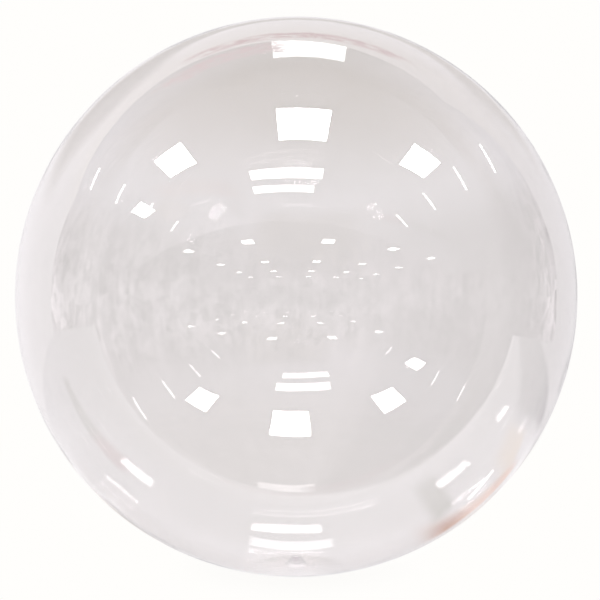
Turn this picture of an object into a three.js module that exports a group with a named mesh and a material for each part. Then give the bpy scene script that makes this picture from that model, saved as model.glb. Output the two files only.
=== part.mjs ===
// A clear bubble balloon: one ball of thin, clear stretch film, blown up tight and lying loose on the floor.
// The ball is a touch wider than it is tall. Its weight flattens a small spot underneath, and in the middle
// of that spot the film is gathered into its sealed neck, which is tucked up into a pleated hollow so that
// the ball sits level. The balloon is sealed, so its solid is the full space that the film encloses.
// Millimetres, +Z up. The origin is on the floor, under the middle of the ball.

import * as THREE from 'three';
import { mergeVertices } from 'three/addons/utils/BufferGeometryUtils.js';

// The ball
const BALL_WIDTH = 508; // a balloon of its kind, filled to 20 inches
const HEIGHT_SHARE = 0.996; // its full round height as a share of its width
const FLAT_RADIUS = 40; // the spot that lies flat on the floor

// The neck, gathered and sealed in its hollow
const HOLLOW_RADIUS = 11; // where the hollow leaves the flat spot
const HOLLOW_DEPTH = 8;
const PLEATS = 12; // folds of gathered film round the hollow
const PLEAT_HEIGHT = 0.9; // how far a fold stands up or down
const STUB_RADIUS = 3; // the twisted neck
const STUB_FLARE = 4; // its sealed end
const STUB_CLEARANCE = 1.5; // from the floor up to the sealed end
const SEAL_THICKNESS = 1.5;

// Fineness
const SEGMENTS_AROUND = 72;
const BALL_STEPS = 34; // from the flat spot up to the top
const HOLLOW_STEPS = 7;

const halfWidth = BALL_WIDTH / 2;
const halfHeight = halfWidth * HEIGHT_SHARE;
const flatAngle = Math.asin(FLAT_RADIUS / halfWidth);
const middleHeight = halfHeight * Math.cos(flatAngle);

// Height of the hollow's wall above the floor, a smooth bell round the neck
function hollowHeight(radius) {
  const share = (radius - STUB_RADIUS) / (HOLLOW_RADIUS - STUB_RADIUS);
  return HOLLOW_DEPTH * 0.5 * (1 + Math.cos(Math.PI * share));
}

// The neck's side, from the middle of its sealed end up to where it meets the hollow
function neckProfile() {
  const sealTop = STUB_CLEARANCE + SEAL_THICKNESS;
  return [
    new THREE.Vector2(0, STUB_CLEARANCE),
    new THREE.Vector2(STUB_FLARE, STUB_CLEARANCE),
    new THREE.Vector2(STUB_FLARE, sealTop),
    new THREE.Vector2(STUB_RADIUS, sealTop + SEAL_THICKNESS / 2),
    new THREE.Vector2(STUB_RADIUS, HOLLOW_DEPTH),
  ];
}

function hollowProfile() {
  const points = [];
  for (let step = 1; step <= HOLLOW_STEPS; step += 1) {
    const share = step / HOLLOW_STEPS;
    const radius = THREE.MathUtils.lerp(STUB_RADIUS, HOLLOW_RADIUS, share);
    points.push(new THREE.Vector2(radius, step === HOLLOW_STEPS ? 0 : hollowHeight(radius)));
  }
  return points;
}

// The ball's side, from the edge of the flat spot up to the top
function ballProfile() {
  const points = [new THREE.Vector2(FLAT_RADIUS, 0)];
  for (let step = 1; step < BALL_STEPS; step += 1) {
    const angle = THREE.MathUtils.lerp(flatAngle, Math.PI, step / BALL_STEPS);
    points.push(new THREE.Vector2(
      halfWidth * Math.sin(angle),
      middleHeight - halfHeight * Math.cos(angle),
    ));
  }
  points.push(new THREE.Vector2(0, middleHeight + halfHeight));
  return points;
}

// Gathers the hollow's wall into folds that run out from the neck and fade before the flat spot
function pleat(geometry) {
  const position = geometry.attributes.position;
  for (let index = 0; index < position.count; index += 1) {
    const x = position.getX(index);
    const y = position.getY(index);
    const z = position.getZ(index);
    const radius = Math.hypot(x, y);
    const onWall = radius > STUB_FLARE && radius < HOLLOW_RADIUS - 0.1 && z < HOLLOW_DEPTH;
    if (onWall) {
      const share = (radius - STUB_RADIUS) / (HOLLOW_RADIUS - STUB_RADIUS);
      const fold = Math.cos(PLEATS * Math.atan2(y, x)) * Math.sin(Math.PI * share);
      position.setZ(index, z + PLEAT_HEIGHT * fold);
    }
  }
}

function balloonGeometry() {
  const profile = [...neckProfile(), ...hollowProfile(), ...ballProfile()];
  const turned = new THREE.LatheGeometry(profile, SEGMENTS_AROUND);
  turned.rotateX(Math.PI / 2);
  turned.deleteAttribute('normal');
  turned.deleteAttribute('uv');
  const geometry = mergeVertices(turned, 1e-3);
  pleat(geometry);
  geometry.computeVertexNormals();
  return geometry;
}

const clearFilm = new THREE.MeshStandardMaterial({
  color: 0xdfdadc,
  roughness: 0.05,
  metalness: 0,
  transparent: true,
  opacity: 0.3,
});

const balloon = new THREE.Mesh(balloonGeometry(), clearFilm);
balloon.name = 'balloon';

const group = new THREE.Group();
group.add(balloon);

export default group;
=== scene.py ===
# Clear bubble balloon: one ball of thin stretch film, sealed at a neck tucked up underneath.
# Metres, +Z up. The camera stands on the -Y side, level with the middle of the ball.

import math

import bmesh
import bpy
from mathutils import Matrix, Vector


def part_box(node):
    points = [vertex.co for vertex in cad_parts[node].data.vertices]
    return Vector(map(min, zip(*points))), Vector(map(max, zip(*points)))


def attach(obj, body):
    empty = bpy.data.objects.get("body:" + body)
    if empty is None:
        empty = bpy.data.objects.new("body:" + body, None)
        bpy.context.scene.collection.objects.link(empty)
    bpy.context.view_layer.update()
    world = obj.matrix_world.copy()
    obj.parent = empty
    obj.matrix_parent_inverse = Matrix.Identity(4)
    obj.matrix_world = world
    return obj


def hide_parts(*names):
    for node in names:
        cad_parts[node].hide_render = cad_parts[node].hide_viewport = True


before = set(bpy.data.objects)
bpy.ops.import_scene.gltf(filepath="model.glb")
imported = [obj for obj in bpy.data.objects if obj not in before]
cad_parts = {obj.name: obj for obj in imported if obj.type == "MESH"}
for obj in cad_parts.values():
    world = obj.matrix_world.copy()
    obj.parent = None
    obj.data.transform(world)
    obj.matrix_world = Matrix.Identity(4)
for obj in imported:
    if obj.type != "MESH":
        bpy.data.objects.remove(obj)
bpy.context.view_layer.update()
print("frame loaded")


balloon = {
    "flatRadius": 0.040,  # the spot that lies on the floor
    "flatRounding": 0.005,  # how softly the ball turns into it
    "hollowRadius": 0.011,  # the hollow round the neck
    "hollowDepth": 0.008,
    "stubRadius": 0.003,
    "stubFlare": 0.004,
    "stubClearance": 0.0015,
    "sealThickness": 0.0015,
    "pleats": 24,
    "pleatHeight": 0.0006,
    "creaseReach": 0.075,  # how far the fine creases run out from the hollow
    "creaseHeight": 0.00045,
    "creaseWaves": ((19, 0.4, 1.0), (31, 2.1, 0.8), (47, 1.2, 0.6)),  # how many round, start, strength
    "creaseLeast": 0.5,  # lower waves than this leave the film smooth
    "creaseOnset": 8,  # how steeply they rise beside the hollow
    "segments": 240,
    "rings": 120,
    "flatSteps": 6,
    "wallSteps": 14,
    "roundingSteps": 8,
    "nearFloor": 1e-5,
    "nearRim": 1e-3,
    "filmThickness": 0.0004,
    "swell": 0.0002,  # how far the film strays from a true round
    "swellSize": 0.16,
}


def ballShape():
    low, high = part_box("balloon")
    halfWidth = (high.x - low.x) / 2
    share = math.sqrt(1 - (balloon["flatRadius"] / halfWidth) ** 2)
    halfHeight = (high.z - low.z) / (1 + share)
    return halfWidth, halfHeight, high.z - halfHeight


def deselectAll():
    if bpy.context.object and bpy.context.object.mode != "OBJECT":
        bpy.ops.object.mode_set(mode="OBJECT")
    bpy.ops.object.select_all(action="DESELECT")


def selectWhere(piece, test):
    mesh = bmesh.from_edit_mesh(piece.data)
    bpy.ops.mesh.select_all(action="DESELECT")
    for vertex in mesh.verts:
        vertex.select = test(vertex.co)
    mesh.select_flush_mode()
    bmesh.update_edit_mesh(piece.data)


# fine creases of stretched film, uneven round the neck and fading outwards; they only stand up
def crease(radius, turn):
    inner = balloon["hollowRadius"]
    share = (radius - inner) / (balloon["creaseReach"] - inner)
    waves = 0
    for count, start, strength in balloon["creaseWaves"]:
        waves += strength * math.cos(count * turn + start)
    onset = min(1, balloon["creaseOnset"] * share)
    return max(0, waves - balloon["creaseLeast"]) * onset * (1 - share) ** 2


def buildBalloon():
    halfWidth, halfHeight, middle = ballShape()
    deselectAll()
    bpy.ops.mesh.primitive_uv_sphere_add(
        segments=balloon["segments"], ring_count=balloon["rings"], radius=1,
        location=(0, 0, middle), scale=(halfWidth, halfWidth, halfHeight))
    piece = bpy.context.object
    piece.name = "balloonFilm"
    bpy.ops.object.transform_apply(location=True, rotation=True, scale=True)

    bpy.ops.object.mode_set(mode="EDIT")
    bpy.ops.mesh.select_all(action="SELECT")
    bpy.ops.mesh.bisect(plane_co=(0, 0, 0), plane_no=(0, 0, 1), threshold=1e-6,
                        clear_inner=True, use_fill=False)

    def onFloor(co):
        return abs(co.z) < balloon["nearFloor"]

    def onRim(co):
        return onFloor(co) and abs(math.hypot(co.x, co.y) - balloon["flatRadius"]) < balloon["nearRim"]

    selectWhere(piece, onFloor)

    # flat spot, hollow wall, neck: rings drawn inwards one after another
    def ring(radius, height, lastRadius, lastHeight):
        bpy.ops.mesh.extrude_edges_move()
        share = radius / lastRadius
        bpy.ops.transform.resize(value=(share, share, 1), center_override=(0, 0, 0))
        bpy.ops.transform.translate(value=(0, 0, height - lastHeight))

    route = []
    flatSteps = balloon["flatSteps"]
    flatEdge = balloon["flatRadius"] - 2 * balloon["flatRounding"]
    for step in range(flatSteps + 1):
        share = step / flatSteps
        route.append((flatEdge * (1 - share) + balloon["hollowRadius"] * share, 0.0))
    wallSteps = balloon["wallSteps"]
    for step in range(1, wallSteps + 1):
        share = step / wallSteps
        radius = balloon["hollowRadius"] * (1 - share) + balloon["stubRadius"] * share
        height = balloon["hollowDepth"] / 2 * (1 - math.cos(math.pi * share))
        route.append((radius, height))
    sealTop = balloon["stubClearance"] + balloon["sealThickness"]
    route += [
        (balloon["stubRadius"], (balloon["hollowDepth"] + sealTop) / 2),
        (balloon["stubRadius"], sealTop + balloon["sealThickness"] / 2),
        (balloon["stubFlare"], sealTop),
        (balloon["stubFlare"], balloon["stubClearance"]),
        (balloon["stubFlare"] / 2, balloon["stubClearance"]),
    ]
    last = (balloon["flatRadius"], 0.0)
    for radius, height in route:
        ring(radius, height, *last)
        last = (radius, height)
    bpy.ops.mesh.merge(type="CENTER")
    selectWhere(piece, onRim)
    bpy.ops.mesh.bevel(offset=balloon["flatRounding"], segments=balloon["roundingSteps"], affect="EDGES")

    # pleats of gathered film
    bpy.ops.object.mode_set(mode="OBJECT")
    for vertex in piece.data.vertices:
        co = vertex.co
        radius = math.hypot(co.x, co.y)
        if balloon["stubFlare"] < radius < balloon["hollowRadius"] and co.z < balloon["hollowDepth"]:
            share = (radius - balloon["stubRadius"]) / (balloon["hollowRadius"] - balloon["stubRadius"])
            fold = math.cos(balloon["pleats"] * math.atan2(co.y, co.x)) * math.sin(math.pi * share)
            co.z += balloon["pleatHeight"] * fold
        elif balloon["hollowRadius"] < radius < balloon["creaseReach"] and co.z < balloon["creaseReach"]:
            co.z += balloon["creaseHeight"] * crease(radius, math.atan2(co.y, co.x))

    swell = bpy.data.textures.new("filmSwell", "CLOUDS")
    swell.noise_scale = balloon["swellSize"]
    swell.noise_depth = 1
    displace = piece.modifiers.new("swell", "DISPLACE")
    displace.texture = swell
    displace.strength = balloon["swell"]
    displace.texture_coords = "LOCAL"
    bpy.ops.object.modifier_apply(modifier=displace.name)
    for vertex in piece.data.vertices:
        vertex.co.z = max(vertex.co.z, 0)  # nothing dips into the floor

    wall = piece.modifiers.new("film", "SOLIDIFY")
    wall.thickness = balloon["filmThickness"]
    wall.offset = -1
    bpy.ops.object.modifier_apply(modifier=wall.name)
    bpy.ops.object.shade_smooth()
    return piece


filmLook = {
    "thick": (0.872, 0.856, 0.860, 1),  # what passes through the thicker places
    "thin": (0.893, 0.876, 0.883, 1),
    "lightBend": 1.5,
    # each noise has a scale; the ranges say where in it a thing starts and where it is full
    "clouding": 5.0,
    "cloudRange": (0.3, 0.7),
    "hazeScale": 9.0,
    "hazeRange": (0.45, 0.75),
    "roughest": 0.035,
    "dustScale": 420.0,
    "dustRange": (0.74, 0.78),
    "dustyScale": 6.3,  # dust gathers in these patches
    "dustyRange": (0.4, 0.6),
    "dustRoughness": 0.10,
    "waveScale": 11.0,
    "waveHeight": 0.00025,
    "shadow": (0.96, 0.955, 0.955, 1),  # the film throws almost no shadow
}


# node helpers

def wire(tree, value, socket):
    if isinstance(value, bpy.types.NodeSocket):
        tree.links.new(value, socket)
    else:
        socket.default_value = value


def calc(tree, operation, *values):
    node = tree.nodes.new("ShaderNodeMath")
    node.operation = operation
    for socket, value in zip(node.inputs, values):
        wire(tree, value, socket)
    return node.outputs[0]


def times(tree, first, *others):
    for other in others:
        first = calc(tree, "MULTIPLY", first, other)
    return first


def distance(tree, first, second):
    return calc(tree, "SQRT", calc(tree, "MULTIPLY_ADD", first, first, times(tree, second, second)))


def between(tree, value, low, high, start=0.0, end=1.0):
    node = tree.nodes.new("ShaderNodeMapRange")
    node.interpolation_type = "SMOOTHSTEP"
    names = ("Value", "From Min", "From Max", "To Min", "To Max")
    for name, item in zip(names, (value, low, high, start, end)):
        wire(tree, item, node.inputs[name])
    return node.outputs[0]


# rises over the first two places and sinks over the last two
def window(tree, value, places, least=0.0):
    start, full, fade, end = places
    return times(tree, between(tree, value, start, full), between(tree, value, fade, end, 1.0, least))


# full near the centre, fading from one distance to the next
def around(tree, value, centre, inner, outer):
    away = calc(tree, "ABSOLUTE", calc(tree, "SUBTRACT", value, centre))
    return between(tree, away, inner, outer, 1.0, 0.0)


# 1 where the share is 0, and less by the given depth where it is 1
def lessBy(tree, share, depth):
    return calc(tree, "MULTIPLY_ADD", share, -depth, 1.0)


def blendColour(tree, factor, first, second):
    node = tree.nodes.new("ShaderNodeMix")
    node.data_type = "RGBA"
    wire(tree, factor, node.inputs["Factor"])
    wire(tree, first, node.inputs["A"])
    wire(tree, second, node.inputs["B"])
    return node.outputs["Result"]


def noise(tree, place, scale, detail=2.0, roughness=0.5):
    node = tree.nodes.new("ShaderNodeTexNoise")
    node.inputs["Scale"].default_value = scale
    node.inputs["Detail"].default_value = detail
    node.inputs["Roughness"].default_value = roughness
    wire(tree, place, node.inputs["Vector"])
    return node.outputs["Fac"]


def mixShaders(tree, factor, first, second):
    node = tree.nodes.new("ShaderNodeMixShader")
    wire(tree, factor, node.inputs["Fac"])
    wire(tree, first, node.inputs[1])
    wire(tree, second, node.inputs[2])
    return node.outputs[0]


def clearFilm():
    material = bpy.data.materials.new("clearFilm")
    material.use_nodes = True
    tree = material.node_tree
    tree.nodes.clear()
    place = tree.nodes.new("ShaderNodeTexCoord").outputs["Object"]
    film = tree.nodes.new("ShaderNodeBsdfPrincipled")
    film.inputs["IOR"].default_value = filmLook["lightBend"]
    film.inputs["Transmission Weight"].default_value = 1.0

    # blown film is nowhere quite as thick as next to it
    cloud = noise(tree, place, filmLook["clouding"], detail=3.0, roughness=0.55)
    cloud = between(tree, cloud, *filmLook["cloudRange"])
    wire(tree, blendColour(tree, cloud, filmLook["thick"], filmLook["thin"]), film.inputs["Base Color"])

    # faint haze in patches, and specks of dust
    haze = noise(tree, place, filmLook["hazeScale"], detail=4.0, roughness=0.6)
    haze = between(tree, haze, *filmLook["hazeRange"], 0.0, filmLook["roughest"])
    speck = noise(tree, place, filmLook["dustScale"], detail=1.0)
    speck = between(tree, speck, *filmLook["dustRange"])
    dusty = between(tree, noise(tree, place, filmLook["dustyScale"]), *filmLook["dustyRange"])
    dust = times(tree, speck, dusty, filmLook["dustRoughness"])
    wire(tree, calc(tree, "MAXIMUM", haze, dust), film.inputs["Roughness"])

    # slow waves left from the stretching
    bump = tree.nodes.new("ShaderNodeBump")
    bump.inputs["Strength"].default_value = 1.0
    bump.inputs["Distance"].default_value = filmLook["waveHeight"]
    wire(tree, noise(tree, place, filmLook["waveScale"], roughness=0.45), bump.inputs["Height"])
    wire(tree, bump.outputs["Normal"], film.inputs["Normal"])

    clear = tree.nodes.new("ShaderNodeBsdfTransparent")
    clear.inputs["Color"].default_value = filmLook["shadow"]
    path = tree.nodes.new("ShaderNodeLightPath")
    out = tree.nodes.new("ShaderNodeOutputMaterial")
    seen = mixShaders(tree, path.outputs["Is Shadow Ray"], film.outputs[0], clear.outputs[0])
    wire(tree, seen, out.inputs["Surface"])
    return material


film = buildBalloon()
film.data.materials.append(clearFilm())
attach(film, "root")
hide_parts("balloon")
print("balloon made")


halfWidth, halfHeight, middle = ballShape()

camera = {
    "distance": 4.2,  # in ball radii
    "sensor": 36,
    "fill": 0.4688,  # the ball's half width as a share of the frame
    "shiftX": 0.0063,
    "shiftY": -0.0055,
}


def addCamera():
    data = bpy.data.cameras.new("camera")
    view = bpy.data.objects.new("camera", data)
    bpy.context.scene.collection.objects.link(view)
    view.location = (0, -camera["distance"] * halfWidth, middle)
    view.rotation_euler = (math.radians(90), 0, 0)
    data.sensor_width = camera["sensor"]
    edge = math.tan(math.asin(1 / camera["distance"]))
    data.lens = camera["fill"] / edge * data.sensor_width
    data.shift_x = camera["shiftX"]
    data.shift_y = camera["shiftY"]
    bpy.context.scene.camera = view


def dim(tree, colour, amount):
    node = tree.nodes.new("ShaderNodeVectorMath")
    node.operation = "SCALE"
    wire(tree, colour, node.inputs[0])
    wire(tree, amount, node.inputs["Scale"])
    return node.outputs[0]


def stepsOfColour(tree, value, steps):
    node = tree.nodes.new("ShaderNodeValToRGB")
    band = node.color_ramp
    while len(band.elements) < len(steps):
        band.elements.new(0.5)
    for element, (place, colour) in zip(band.elements, steps):
        element.position = place
        element.color = (*colour, 1)
    wire(tree, value, node.inputs["Fac"])
    return node.outputs["Color"]


def splitVector(tree, vector):
    node = tree.nodes.new("ShaderNodeSeparateXYZ")
    wire(tree, vector, node.inputs[0])
    return node.outputs[0], node.outputs[1], node.outputs[2]


def mirroredRays(tree):
    path = tree.nodes.new("ShaderNodeLightPath")
    return calc(tree, "GREATER_THAN", path.outputs["Glossy Depth"], 0.5)


lights = {
    "ceiling": 7.5,  # height above the ball's middle; all of these are in ball radii
    "panelSide": 2.25,
    "panelGlow": 36.0,
    "near": ((0.33, -3.5), (-6.7, -3.6), (6.9, -3.6), (-13.3, -6.1)),
    "tubes": ((-0.6, -7.4, 4.5, 1.0), (-0.9, -9.1, 4.3, 0.85)),
    "tubeGlow": 12.0,
    "behind": (0.4, 2.6),
    "behindGlow": 3.5,
    "farStart": (-17.5, -20.0),  # lamps down the hall stand in straight rows
    "farStep": (10.9, -12.5),
    "farColumns": 5,
    "farRows": 4,
    "farSide": 1.7,
    "farGlow": 12.0,
    # thin tracks of light run down both sides, each turned a little more than the one before
    "trackSides": (-12.9, 10.5),
    "trackStart": 2.5,
    "trackStep": -4.6,
    "trackRows": 4,
    "trackLength": 3.0,
    "trackTurn": 10.0,
    "trackWidth": 0.22,
    "trackGlow": 9.0,
}


def addPanel(x, y, sizeX, sizeY, glow, turn=0.0):
    data = bpy.data.lights.new("panel", "AREA")
    data.shape = "RECTANGLE"
    data.size = sizeX * halfWidth
    data.size_y = sizeY * halfWidth
    data.energy = glow * math.pi * data.size * data.size_y
    lamp = bpy.data.objects.new("panel", data)
    bpy.context.scene.collection.objects.link(lamp)
    lamp.location = (x * halfWidth, y * halfWidth, middle + lights["ceiling"] * halfWidth)
    lamp.rotation_euler = (0, 0, math.radians(turn))
    lamp.visible_diffuse = False


def addLights():
    side = lights["panelSide"]
    farSide = lights["farSide"]
    for x, y in lights["near"]:
        addPanel(x, y, side, side, lights["panelGlow"])
    addPanel(*lights["behind"], side, side, lights["behindGlow"])
    for x, y, sizeX, sizeY in lights["tubes"]:
        addPanel(x, y, sizeX, sizeY, lights["tubeGlow"])
    startX, startY = lights["farStart"]
    stepX, stepY = lights["farStep"]
    for row in range(lights["farRows"]):
        for column in range(lights["farColumns"]):
            addPanel(startX + stepX * column, startY + stepY * row, farSide, farSide, lights["farGlow"])
    for x in lights["trackSides"]:
        for row in range(lights["trackRows"]):
            turn = math.copysign(lights["trackTurn"] * row, -x)
            addPanel(x, lights["trackStart"] + lights["trackStep"] * row, lights["trackLength"],
                     lights["trackWidth"], lights["trackGlow"], turn)


# The ball stands in a pale studio set up in a long hall. The hall shows only in what the film mirrors:
# everything seen straight through it, and round it, is the plain pale studio. Lengths are in ball radii,
# with x to the right, y away from the camera and z up from the middle of the ball.
studio = {
    "pale": (1.0, 0.991, 0.973, 1),
    "shadeColour": (0.45, 0.33, 0.22, 1),  # where the ball shades the table and the foot of the paper
    "redColour": (0.56, 0.24, 0.26, 1),
}

# Windows give where a tone starts, is full, starts to fade and is gone. Down runs from 0 straight up to 1
# straight down; turn from 0 towards the camera to 1 away from it, and is below 0 on the left.
hall = {
    # dim roof over the ball, lit roof further off, hall, floor
    "steps": ((0.0, (0.17, 0.14, 0.08)), (0.09, (0.22, 0.18, 0.10)), (0.167, (0.42, 0.38, 0.34)),
              (0.233, (0.66, 0.62, 0.62)), (0.30, (0.95, 0.93, 1.0)), (0.35, (0.95, 0.93, 1.0)),
              (0.39, (0.62, 0.58, 0.60)), (0.444, (0.60, 0.56, 0.58)), (0.49, (0.95, 0.90, 0.93)),
              (0.555, (1.0, 0.93, 0.97)), (0.622, (0.78, 0.72, 0.74)), (0.75, (0.85, 0.80, 0.80)),
              (0.833, (1.0, 0.95, 0.95))),
    # the right of the hall is unlit
    "unlitTurn": (0.08, 0.25, 0.53, 0.69),
    "unlitDown": (0.28, 0.40, 0.70, 0.95),
    "unlitLeast": 0.5,
    "unlitDepth": 0.78,
    # dim roof behind the ball
    "roofTurn": (0.58, 0.69),
    "roofDown": (0.167, 0.333),
    "roofDepth": 0.25,
    # a dim arch across the far end, and a dim band at eye level under it
    "archTurn": (-0.13, -0.04, 0.10, 0.19),
    "archDown": (0.305, 0.345, 0.43, 0.47),
    "archColour": (0.16, 0.13, 0.06, 1),
    "bandTurn": (0.10, 0.30),
    "bandDown": (0.40, 0.45, 0.50, 0.54),
    "bandDepth": 0.5,
    # uprights, shelves and goods near the horizon
    "goodsAcross": 32.0,
    "goodsDown": 30.0,
    "largeScale": 1.0,
    "largeWeight": 0.495,
    "smallScale": 2.6,
    "smallWeight": 0.675,
    "uprightStretch": (1.3, 0.12, 1),
    "uprightScale": 1.0,
    "uprightWeight": 0.6,
    "softScale": 0.22,
    "softWeight": 0.4,
    "cloudRange": (0.3, 0.7),
    "goodsMean": 1.09,
    "horizonRange": (0.06, 0.17),
    "horizonStrength": (1.2, 0.2),
    "darkest": 0.05,
}


def hallTone(tree, turn, down):
    aside = calc(tree, "ABSOLUTE", turn)
    tone = stepsOfColour(tree, down, hall["steps"])
    unlit = times(tree, window(tree, turn, hall["unlitTurn"]),
                  window(tree, down, hall["unlitDown"], hall["unlitLeast"]))
    tone = dim(tree, tone, lessBy(tree, unlit, hall["unlitDepth"]))
    roof = times(tree, between(tree, aside, *hall["roofTurn"]), between(tree, down, *hall["roofDown"]))
    tone = dim(tree, tone, lessBy(tree, roof, hall["roofDepth"]))
    arch = times(tree, window(tree, turn, hall["archTurn"]), window(tree, down, hall["archDown"]))
    tone = blendColour(tree, arch, tone, hall["archColour"])
    band = times(tree, around(tree, turn, 0.0, *hall["bandTurn"]), window(tree, down, hall["bandDown"]))
    return dim(tree, tone, lessBy(tree, band, hall["bandDepth"]))


def boxes(tree, place, scale):
    node = tree.nodes.new("ShaderNodeTexVoronoi")
    node.distance = "CHEBYCHEV"
    node.inputs["Scale"].default_value = scale
    wire(tree, place, node.inputs["Vector"])
    return splitVector(tree, node.outputs["Color"])[0]


# how light or dark the goods are, strongest near the horizon
def hallGoods(tree, turn, down):
    join = tree.nodes.new("ShaderNodeCombineXYZ")
    wire(tree, times(tree, turn, hall["goodsAcross"]), join.inputs[0])
    wire(tree, times(tree, down, hall["goodsDown"]), join.inputs[1])
    place = join.outputs[0]
    stretch = tree.nodes.new("ShaderNodeMapping")
    stretch.inputs["Scale"].default_value = hall["uprightStretch"]
    wire(tree, place, stretch.inputs["Vector"])
    uprights = noise(tree, stretch.outputs[0], hall["uprightScale"], detail=4.0, roughness=0.7)
    soft = noise(tree, place, hall["softScale"], detail=4.0, roughness=0.65)
    layers = (
        (boxes(tree, place, hall["largeScale"]), hall["largeWeight"]),
        (boxes(tree, place, hall["smallScale"]), hall["smallWeight"]),
        (between(tree, uprights, *hall["cloudRange"]), hall["uprightWeight"]),
        (between(tree, soft, *hall["cloudRange"]), hall["softWeight"]),
    )
    amount = -hall["goodsMean"]
    for layer, weight in layers:
        amount = calc(tree, "MULTIPLY_ADD", layer, weight, amount)
    fromHorizon = calc(tree, "ABSOLUTE", calc(tree, "SUBTRACT", down, 0.5))
    strength = between(tree, fromHorizon, *hall["horizonRange"], *hall["horizonStrength"])
    return calc(tree, "MAXIMUM", calc(tree, "MULTIPLY_ADD", amount, strength, 1.0), hall["darkest"])


def addWorld():
    world = bpy.data.worlds.new("studio")
    bpy.context.scene.world = world
    world.use_nodes = True
    tree = world.node_tree
    tree.nodes.clear()
    coord = tree.nodes.new("ShaderNodeTexCoord")
    x, y, z = splitVector(tree, coord.outputs["Generated"])
    down = calc(tree, "DIVIDE", calc(tree, "ARCCOSINE", z), math.pi)
    turn = calc(tree, "DIVIDE", calc(tree, "ARCTAN2", x, times(tree, y, -1.0)), math.pi)

    plain = tree.nodes.new("ShaderNodeBackground")
    plain.inputs["Color"].default_value = studio["pale"]
    room = tree.nodes.new("ShaderNodeBackground")
    wire(tree, dim(tree, hallTone(tree, turn, down), hallGoods(tree, turn, down)), room.inputs["Color"])
    seen = mixShaders(tree, mirroredRays(tree), plain.outputs[0], room.outputs[0])
    out = tree.nodes.new("ShaderNodeOutputWorld")
    wire(tree, seen, out.inputs["Surface"])


def stageMaterial(name):
    material = bpy.data.materials.new(name)
    material.use_nodes = True
    tree = material.node_tree
    tree.nodes.clear()
    coord = tree.nodes.new("ShaderNodeTexCoord")
    place = tree.nodes.new("ShaderNodeMapping")
    place.inputs["Location"].default_value = (0, 0, -middle / halfWidth)
    place.inputs["Scale"].default_value = (1 / halfWidth, 1 / halfWidth, 1 / halfWidth)
    wire(tree, coord.outputs["Object"], place.inputs["Vector"])
    return material, tree, place.outputs[0]


def clearShader(tree):
    return tree.nodes.new("ShaderNodeBsdfTransparent").outputs[0]


def glowOf(tree, colour, strength):
    node = tree.nodes.new("ShaderNodeEmission")
    wire(tree, colour, node.inputs["Color"])
    wire(tree, strength, node.inputs["Strength"])
    return node.outputs[0]


# how far y is over a slanting line, which is given by its slope and its y at the middle
def overLine(tree, x, y, line):
    slope, start = line
    return calc(tree, "SUBTRACT", y, calc(tree, "MULTIPLY_ADD", x, slope, start))


# a soft-edged mark; each side gives its centre, where it starts to fade and where it is gone
def mark(tree, across, along, acrossSide, alongSide, strength=1.0):
    return times(tree, around(tree, across, *acrossSide), around(tree, along, *alongSide), strength)


floorLook = {
    "side": 6,  # in metres
    "drop": 0.0002,  # so that the ball's flat spot stays clear of it
    "touchRange": (0.1, 0.5),
    "touchStrength": (0.965, 1.0),
    "meltRange": (2.0, 6.0),
}

# the white table that shows in the film ends just in front of the ball; it glows by itself, lit by no
# lamp, with its light and shade painted
table = {
    "colour": (1.0, 0.98, 1.0, 1),
    "front": (0.08, -0.87),
    "frontEase": 0.02,
    "left": (-7.0, -6.7),
    "right": (5.5, 5.6),
    # painted light and shade: the top glows brighter along its front edge, dimmer far off and dimmer
    # close round the ball
    "edgeRange": (0.0, 0.2),
    "edgeStrength": (1.5, 1.24),
    "farRange": (1.0, 2.6),
    "farStrength": (1.0, 0.88),
    "nearRange": (0.2, 0.6),
    "nearStrength": (0.86, 1.0),
    # shade behind the ball
    "shadeBack": 1.1,
    "shadeRange": (0.35, 1.25),
    # shade under the ball, weaker at its sides
    "underBack": (-0.5, -0.05),
    "underAway": (0.9, 1.8),
    "underDepth": 0.16,
    "besideRange": (0.25, 0.55),
    "besideDepth": 0.06,
    "easeRange": (0.35, 0.7),
    "easeStrength": (1.0, 0.7),
    # the far right is unlit
    "unlitSide": (1.5, 2.1),
    "unlitBack": (-0.25, 0.1, 1.2, 1.5),
    "unlitLeast": 0.45,
    "unlitDepth": 0.47,
    # painted glints of two lamps in the polished top, close in front of the ball and to its right
    "glint": ((-0.02, 0.15, 0.18), (-0.53, 0.026, 0.036)),
    "sideGlintLine": (0.31, -0.407),
    "sideGlint": ((0.975, 0.13, 0.15), (0.0, 0.022, 0.032)),
    "glintStrength": 1.3,
    # a warm streak lies to the right, rusty at its near end, with a greenish patch beside it
    "warmSides": (0.45, 0.65, 1.15, 1.4),
    "warmLine": (0.95, -0.68),
    "warmSide": (0.0, 0.06, 0.25),
    "warmColour": (1.0, 0.76, 0.68, 1),
    "rustColour": (0.66, 0.40, 0.32, 1),
    "rustRange": (0.62, 0.85),
    "patch": ((0.68, 0.03, 0.12), (-0.47, 0.13, 0.27)),
    "patchStrength": 0.8,
    "patchColour": (0.36, 0.37, 0.30, 1),
    # a darker strip lies across the left, and a tan mark on the right
    "stripSides": (-3.0, -2.6, -1.05, -0.9),
    "stripLine": (-0.352, -0.812),
    "stripSide": (0.0, 0.04, 0.13),
    "stripStrength": 0.6,
    "stripRedRange": (-1.6, -1.2),
    "tan": ((1.42, 0.1, 0.38), (0.13, 0.14, 0.4)),
    "tanStrength": 0.7,
    "tanColour": (1.0, 0.84, 0.68, 1),
}


# how brightly the table glows: painted light and shade, with painted glints added
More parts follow.
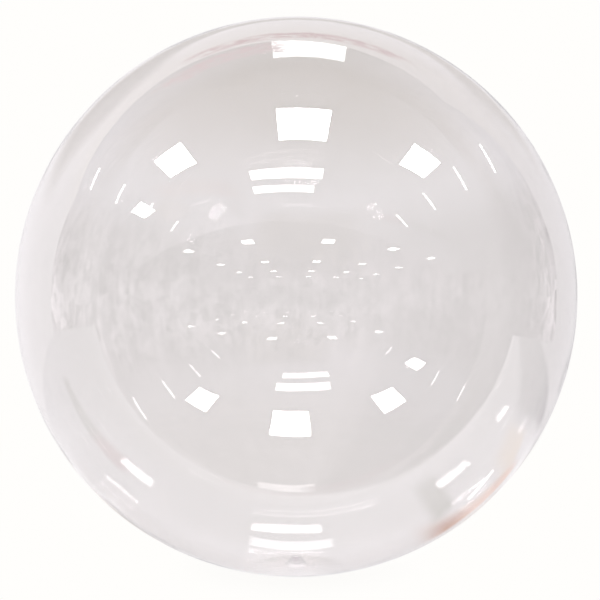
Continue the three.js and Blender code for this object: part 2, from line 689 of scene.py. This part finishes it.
def tableStrength(tree, x, y, away):
    aside = calc(tree, "ABSOLUTE", x)
    inFromFront = overLine(tree, x, y, table["front"])
    strength = times(tree, between(tree, inFromFront, *table["edgeRange"], *table["edgeStrength"]),
                     between(tree, away, *table["farRange"], *table["farStrength"]),
                     between(tree, away, *table["nearRange"], *table["nearStrength"]))
    under = times(tree, between(tree, y, *table["underBack"]),
                  between(tree, away, *table["underAway"], 1.0, 0.0))
    beside = between(tree, aside, *table["besideRange"], 0.0, table["besideDepth"])
    under = calc(tree, "MULTIPLY_ADD", under, table["underDepth"], beside)
    under = times(tree, under, between(tree, aside, *table["easeRange"], *table["easeStrength"]))
    unlit = times(tree, between(tree, x, *table["unlitSide"]),
                  window(tree, y, table["unlitBack"], table["unlitLeast"]))
    strength = times(tree, strength, lessBy(tree, under, 1.0), lessBy(tree, unlit, table["unlitDepth"]))
    # painted glints of two lamps, added to the glow
    glint = mark(tree, x, y, *table["glint"])
    sideGlint = mark(tree, x, overLine(tree, x, y, table["sideGlintLine"]), *table["sideGlint"])
    glint = calc(tree, "MAXIMUM", glint, sideGlint)
    return calc(tree, "MULTIPLY_ADD", glint, table["glintStrength"], strength)


def tableTone(tree, x, y):
    shade = distance(tree, x, calc(tree, "SUBTRACT", y, table["shadeBack"]))
    shade = between(tree, shade, *table["shadeRange"], 1.0, 0.0)
    tone = blendColour(tree, shade, table["colour"], studio["shadeColour"])

    warm = around(tree, overLine(tree, x, y, table["warmLine"]), *table["warmSide"])
    warm = times(tree, warm, window(tree, x, table["warmSides"]))
    toWarm = between(tree, x, *table["rustRange"])
    warmTone = blendColour(tree, toWarm, table["rustColour"], table["warmColour"])
    tone = blendColour(tree, warm, tone, warmTone)
    patch = mark(tree, x, y, *table["patch"], table["patchStrength"])
    tone = blendColour(tree, patch, tone, table["patchColour"])

    strip = around(tree, overLine(tree, x, y, table["stripLine"]), *table["stripSide"])
    strip = times(tree, strip, window(tree, x, table["stripSides"]), table["stripStrength"])
    toRed = between(tree, x, *table["stripRedRange"])
    stripTone = blendColour(tree, toRed, table["patchColour"], studio["redColour"])
    tone = blendColour(tree, strip, tone, stripTone)
    tan = mark(tree, x, y, *table["tan"], table["tanStrength"])
    return blendColour(tree, tan, tone, table["tanColour"])


def addFloor():
    deselectAll()
    bpy.ops.mesh.primitive_plane_add(size=floorLook["side"], location=(0, 0, -floorLook["drop"]))
    floor = bpy.context.object
    floor.name = "floor"
    material, tree, place = stageMaterial("paleFloor")
    x, y, _ = splitVector(tree, place)
    away = distance(tree, x, y)
    clear = clearShader(tree)

    # seen plainly: pale, with a trace of shade where the ball stands, melting into the distance
    touch = between(tree, away, *floorLook["touchRange"], *floorLook["touchStrength"])
    melt = between(tree, away, *floorLook["meltRange"])
    plain = mixShaders(tree, melt, glowOf(tree, studio["pale"], touch), clear)

    # seen in the film: the table, glowing with painted light and shade
    ease = table["frontEase"]
    onTable = times(tree, between(tree, overLine(tree, x, y, table["front"]), -ease, ease),
                    window(tree, x, table["left"] + table["right"]))
    glow = glowOf(tree, tableTone(tree, x, y), tableStrength(tree, x, y, away))
    top = mixShaders(tree, onTable, clear, glow)

    out = tree.nodes.new("ShaderNodeOutputMaterial")
    wire(tree, mixShaders(tree, mirroredRays(tree), plain, top), out.inputs["Surface"])
    floor.data.materials.append(material)


# a board of studio paper behind the ball, which shows only in the film; it glows by itself, lit by no
# lamp, with its light and shade painted
paperLook = {
    "place": 1.5,
    "sides": (-6.4, 3.8),
    "foot": -1,
    "top": 4.3,
    "rise": 0.2,  # its top edge climbs to the right
    "goodsOver": 2.2,  # how far the goods over it reach
    "colour": (1.0, 0.975, 0.99, 1),
    "highColour": (1.0, 0.955, 0.92, 1),
    "highRange": (1.6, 3.6),
    # painted shade of a soft fold running across it, sagging and growing wider to the sides
    "foldHeight": 1.94,
    "foldSag": (0.06, -0.2),
    "foldPower": 2.2,
    "foldWidening": (0.30, 0.14),
    "wideningRange": (-0.3, 0.3),
    "foldLeast": 0.17,
    "foldMost": 1.1,
    "foldCore": 0.35,  # the share of its width that is fully dark
    "foldSides": (-3.4, -2.2, 1.7, 2.6),
    "foldDim": (0.64, 0.76),
    "foldDimRange": (-1.8, 0.6),
    # dimmer close round the ball, and to the right
    "nearRange": (1.4, 2.4),
    "nearStrength": (0.86, 1.0),
    "acrossStrength": (-0.045, 1.05),
    "shadeHeight": (-0.9, -0.1),
    "shadeSide": (0.0, 0.6, 1.5),
    # reddish goods hang along and over its top, in broken streaks
    "streakScale": 3.4,
    "streakRange": (0.42, 0.51),
    "trim": ((0.0, 1.3, 1.8), (3.6, 0.15, 0.45)),
    "trimStrength": 0.85,
    "upperSides": (-3.4, -2.8, -0.5, 0.0),
    "upperHeight": (5.2, 0.7, 1.1),
}


# how much painted shade the fold gives
def foldShadeShare(tree, x, z):
    toRight = calc(tree, "MAXIMUM", x, 0.0)
    sag = times(tree, toRight, calc(tree, "MULTIPLY_ADD", toRight, *paperLook["foldSag"]))
    fromLine = calc(tree, "SUBTRACT", z, calc(tree, "ADD", sag, paperLook["foldHeight"]))
    fromLine = calc(tree, "ABSOLUTE", fromLine)
    spread = calc(tree, "POWER", calc(tree, "ABSOLUTE", x), paperLook["foldPower"])
    widening = between(tree, x, *paperLook["wideningRange"], *paperLook["foldWidening"])
    width = calc(tree, "MULTIPLY_ADD", spread, widening, paperLook["foldLeast"])
    width = calc(tree, "MINIMUM", width, paperLook["foldMost"])
    share = between(tree, fromLine, times(tree, width, paperLook["foldCore"]), width, 1.0, 0.0)
    return times(tree, share, window(tree, x, paperLook["foldSides"]))


def paperStrength(tree, x, z, fold):
    foldDim = between(tree, x, *paperLook["foldDimRange"], *paperLook["foldDim"])
    folded = calc(tree, "MULTIPLY_ADD", fold, calc(tree, "SUBTRACT", foldDim, 1.0), 1.0)
    near = between(tree, distance(tree, x, z), *paperLook["nearRange"], *paperLook["nearStrength"])
    across = calc(tree, "MULTIPLY_ADD", x, *paperLook["acrossStrength"])
    return times(tree, calc(tree, "MINIMUM", folded, near), across)


def paperTone(tree, x, z, fold):
    high = between(tree, z, *paperLook["highRange"])
    tone = blendColour(tree, high, paperLook["colour"], paperLook["highColour"])
    tone = blendColour(tree, fold, tone, paperLook["highColour"])
    shade = times(tree, between(tree, z, *paperLook["shadeHeight"], 1.0, 0.0),
                  around(tree, x, *paperLook["shadeSide"]))
    return blendColour(tree, shade, tone, studio["shadeColour"])


def redStreaks(tree, place, x, z):
    broken = between(tree, noise(tree, place, paperLook["streakScale"], detail=5.0, roughness=0.75),
                     *paperLook["streakRange"])
    trim = mark(tree, x, z, *paperLook["trim"], paperLook["trimStrength"])
    upper = times(tree, around(tree, z, *paperLook["upperHeight"]),
                  window(tree, x, paperLook["upperSides"]))
    return times(tree, calc(tree, "MAXIMUM", trim, upper), broken)


def addPaper():
    deselectAll()
    left, right = paperLook["sides"]
    foot = paperLook["foot"]
    top = paperLook["top"] + paperLook["goodsOver"]
    bpy.ops.mesh.primitive_plane_add(size=1, location=(0, 0, 0))
    paper = bpy.context.object
    paper.name = "paper"
    bpy.ops.object.mode_set(mode="EDIT")
    bpy.ops.mesh.select_all(action="SELECT")
    bpy.ops.transform.resize(value=((right - left) * halfWidth, (top - foot) * halfWidth, 1))
    bpy.ops.object.mode_set(mode="OBJECT")
    paper.rotation_euler = (math.radians(90), 0, 0)
    paper.location = ((left + right) / 2 * halfWidth, paperLook["place"] * halfWidth,
                      middle + (top + foot) / 2 * halfWidth)
    deselectAll()
    paper.select_set(True)
    bpy.ops.object.transform_apply(location=True, rotation=True, scale=True)

    material, tree, place = stageMaterial("studioPaper")
    x, _, z = splitVector(tree, place)
    clear = clearShader(tree)
    fold = foldShadeShare(tree, x, z)
    red = redStreaks(tree, place, x, z)
    tone = blendColour(tree, red, paperTone(tree, x, z, fold), studio["redColour"])
    edge = calc(tree, "MULTIPLY_ADD", x, paperLook["rise"], paperLook["top"])
    present = calc(tree, "MAXIMUM", calc(tree, "LESS_THAN", z, edge), red)
    glow = mixShaders(tree, present, clear, glowOf(tree, tone, paperStrength(tree, x, z, fold)))
    out = tree.nodes.new("ShaderNodeOutputMaterial")
    wire(tree, mixShaders(tree, mirroredRays(tree), clear, glow), out.inputs["Surface"])
    paper.data.materials.append(material)


addCamera()
addLights()
addWorld()
addFloor()
addPaper()
print("studio made")

scene = bpy.context.scene
scene.view_settings.view_transform = "Standard"
scene.cycles.transmission_bounces = 24
scene.cycles.glossy_bounces = 12
scene.cycles.max_bounces = 32
scene.cycles.transparent_max_bounces = 32
scene.cycles.sample_clamp_indirect = 0
